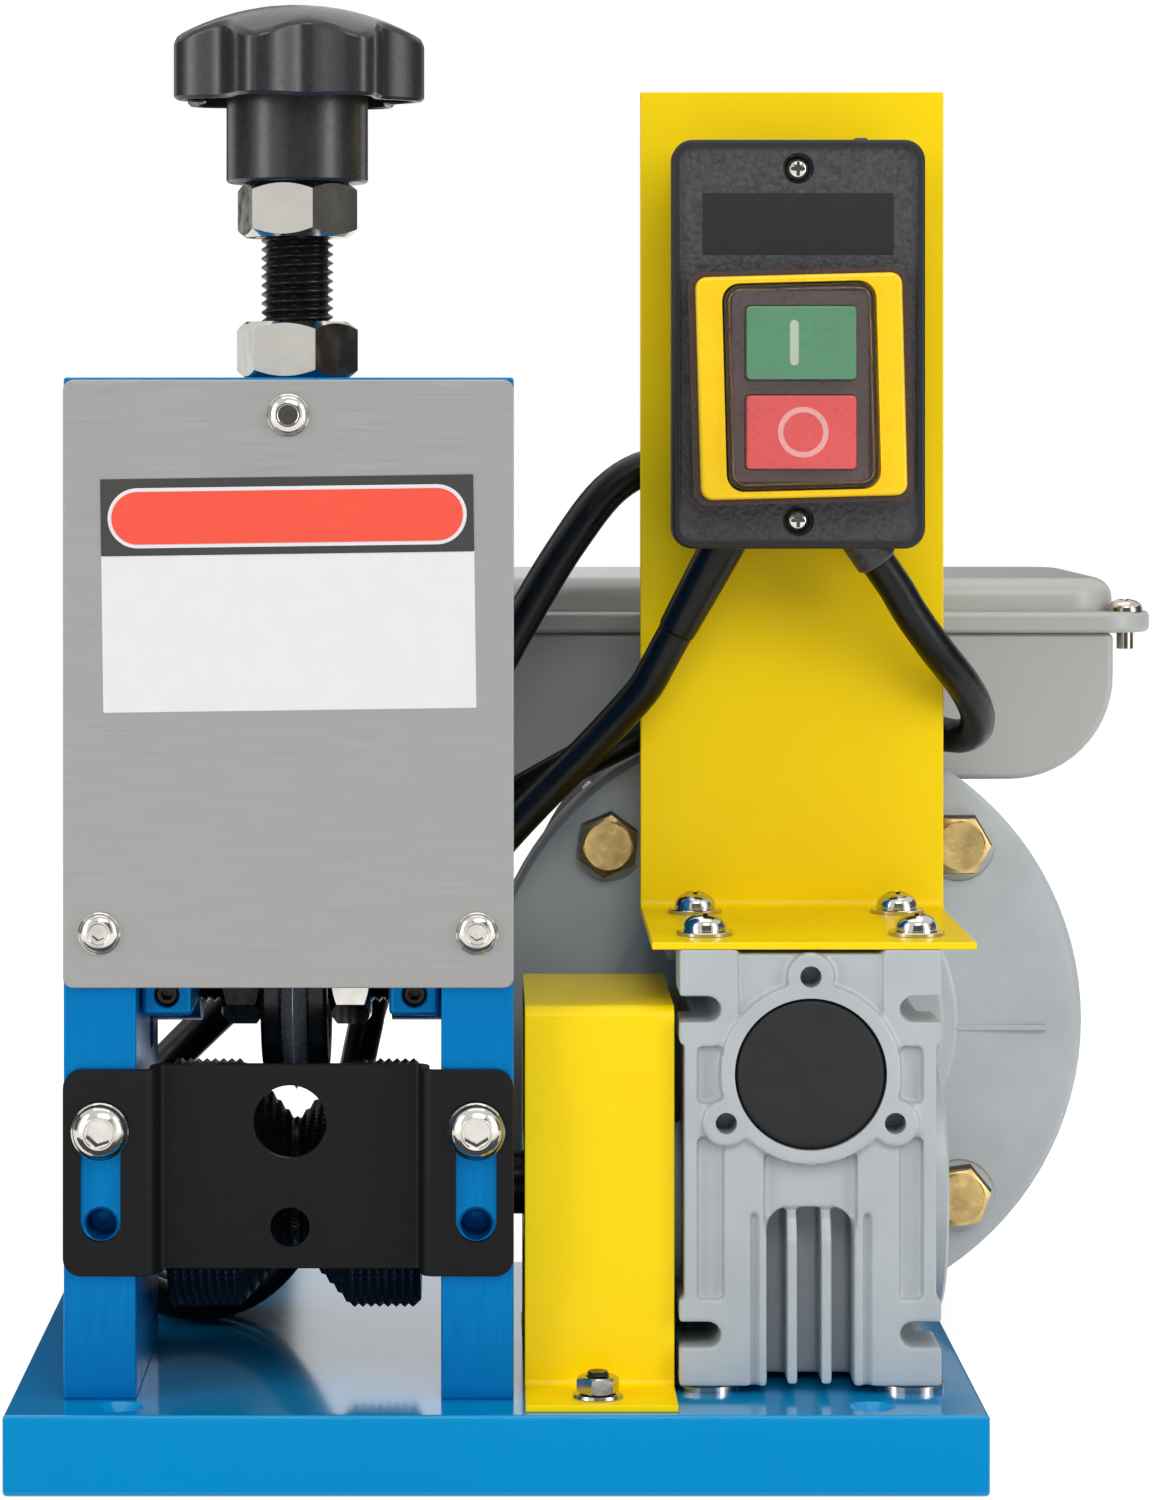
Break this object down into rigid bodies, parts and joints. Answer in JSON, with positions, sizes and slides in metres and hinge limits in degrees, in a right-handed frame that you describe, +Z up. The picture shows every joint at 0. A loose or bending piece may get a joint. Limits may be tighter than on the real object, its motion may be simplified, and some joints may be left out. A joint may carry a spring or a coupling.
{
  "type": "electric wire stripping machine",
  "caption": "Bench wire stripper: motor and worm gearbox drive a grooved feed roller under a screw-adjusted round blade, with start and stop buttons.",
  "frame": {"origin": "centre of the base plate's underside, on the bench", "axes": "+X to the right as seen from the front, +Y to the back (the way the motor runs), +Z up; metres; the wire is pushed in from the front along +Y"},
  "size_m": [0.2626, 0.311, 0.3185],
  "materials": {
    "blue_anodised": "bright blue anodised, glossy",
    "brushed_cover": "fine vertical brushing",
    "bright_zinc": "bright zinc plate",
    "yellow_zinc": "yellow zinc plate on steel",
    "black_sheet": "satin black",
    "black_oxide": "black oxide",
    "blade_steel": "ground",
    "black_plastic": "matt",
    "cast_aluminium": "as cast, sprayed silver grey",
    "grey_paint": "silver grey paint",
    "grey_plastic": "fine grained",
    "yellow_paint": "powder coat",
    "yellow_plastic": "moulded",
    "green_plastic": "moulded",
    "red_plastic": "moulded",
    "clear_plastic": "clear soft guard",
    "bronze": "machined",
    "black_cord": "round jacketed cord"
  },
  "bodies": {
    "frame": {"base_plate": "blue_anodised", "left_side_plate": "blue_anodised", "right_side_plate": "blue_anodised", "head_top_plate": "blue_anodised", "front_cover": "brushed_cover", "cover_screw_top": "bright_zinc", "cover_screw_left": "bright_zinc", "cover_screw_right": "bright_zinc", "guide_screw_left": "bright_zinc", "guide_screw_right": "bright_zinc", "roller_bearing_left": "black_oxide", "roller_bearing_right": "black_oxide", "coupling_cover": "yellow_paint", "gearbox_housing": "cast_aluminium", "gearbox_side_cover": "cast_aluminium", "gearbox_end_cap": "black_plastic", "input_flange": "cast_aluminium", "flange_bolt_1": "yellow_zinc", "flange_bolt_2": "yellow_zinc", "flange_bolt_3": "yellow_zinc", "flange_bolt_4": "yellow_zinc", "motor_housing": "grey_paint", "motor_end_shield": "grey_paint", "fan_cowl": "black_sheet", "terminal_box": "grey_plastic", "terminal_box_lid": "grey_plastic", "switch_bracket": "yellow_paint", "bracket_screw_1": "bright_zinc", "bracket_screw_2": "bright_zinc", "bracket_screw_3": "bright_zinc", "bracket_screw_4": "bright_zinc", "switch_box": "black_plastic", "switch_bezel": "yellow_plastic", "button_guard": "clear_plastic", "mains_boot": "black_cord", "mains_lead": "black_cord", "mains_hank": "black_cord", "mains_tail": "black_cord", "mains_plug": "black_cord", "motor_lead": "black_cord"},
    "guide": {"wire_guide": "black_sheet"},
    "roller": {"feed_roller": "black_oxide", "shaft_coupling": "black_oxide", "worm_wheel": "bronze"},
    "rotor": {"motor_rotor": "blade_steel", "worm_shaft": "blade_steel", "motor_fan": "black_plastic"},
    "carriage": {"blade_carriage": "blue_anodised", "blade_shaft": "black_oxide", "blade_nut_left": "black_oxide", "blade_nut_right": "bright_zinc"},
    "blade": {"cutting_blade": "blade_steel", "blade_flange_left": "black_oxide", "blade_flange_right": "black_oxide"},
    "adjuster": {"adjusting_screw": "black_oxide", "star_knob": "black_plastic", "knob_jam_nut": "bright_zinc"},
    "lock_nut": {"lock_nut": "bright_zinc"},
    "start_button": {"start_button": "green_plastic"},
    "stop_button": {"stop_button": "red_plastic"}
  },
  "joints": [
    {"name": "motor_spin", "type": "hinge", "parent": "frame", "child": "rotor", "pos_m": [0.0674, 0, 0.0859], "axis": [0, 1, 0], "continuous": true},
    {"name": "feed_roller_spin", "type": "hinge", "parent": "frame", "child": "roller", "pos_m": [-0.0442, -0.0256, 0.0559], "axis": [1, 0, 0], "continuous": true},
    {"name": "knob_turn", "type": "hinge", "parent": "carriage", "child": "adjuster", "pos_m": [-0.0442, -0.0256, 0.25], "axis": [0, 0, 1], "range_deg": [-540, 1800]},
    {"name": "carriage_lift", "type": "slide", "parent": "frame", "child": "carriage", "axis": [0, 0, 1], "range_m": [-0.003, 0.01]},
    {"name": "blade_spin", "type": "hinge", "parent": "carriage", "child": "blade", "pos_m": [-0.0442, -0.0256, 0.1022], "axis": [1, 0, 0], "continuous": true},
    {"name": "lock_nut_turn", "type": "hinge", "parent": "frame", "child": "lock_nut", "pos_m": [-0.0442, -0.0256, 0.2416], "axis": [0, 0, 1], "range_deg": [0, 180]},
    {"name": "guide_slide", "type": "slide", "parent": "frame", "child": "guide", "axis": [0, 0, 1], "range_m": [0, 0.016]},
    {"name": "start_press", "type": "slide", "parent": "frame", "child": "start_button", "axis": [0, 1, 0], "range_m": [0, 0.003], "stiffness_N_per_m": 900, "springref_m": -0.0008},
    {"name": "stop_press", "type": "slide", "parent": "frame", "child": "stop_button", "axis": [0, 1, 0], "range_m": [0, 0.003], "stiffness_N_per_m": 900, "springref_m": -0.0008}
  ],
  "couplings": [
    {"joint": "feed_roller_spin", "follows": "motor_spin", "ratio": 0.033333},
    {"joint": "knob_turn", "follows": "carriage_lift", "rad_per_m": 3141.6}
  ]
}
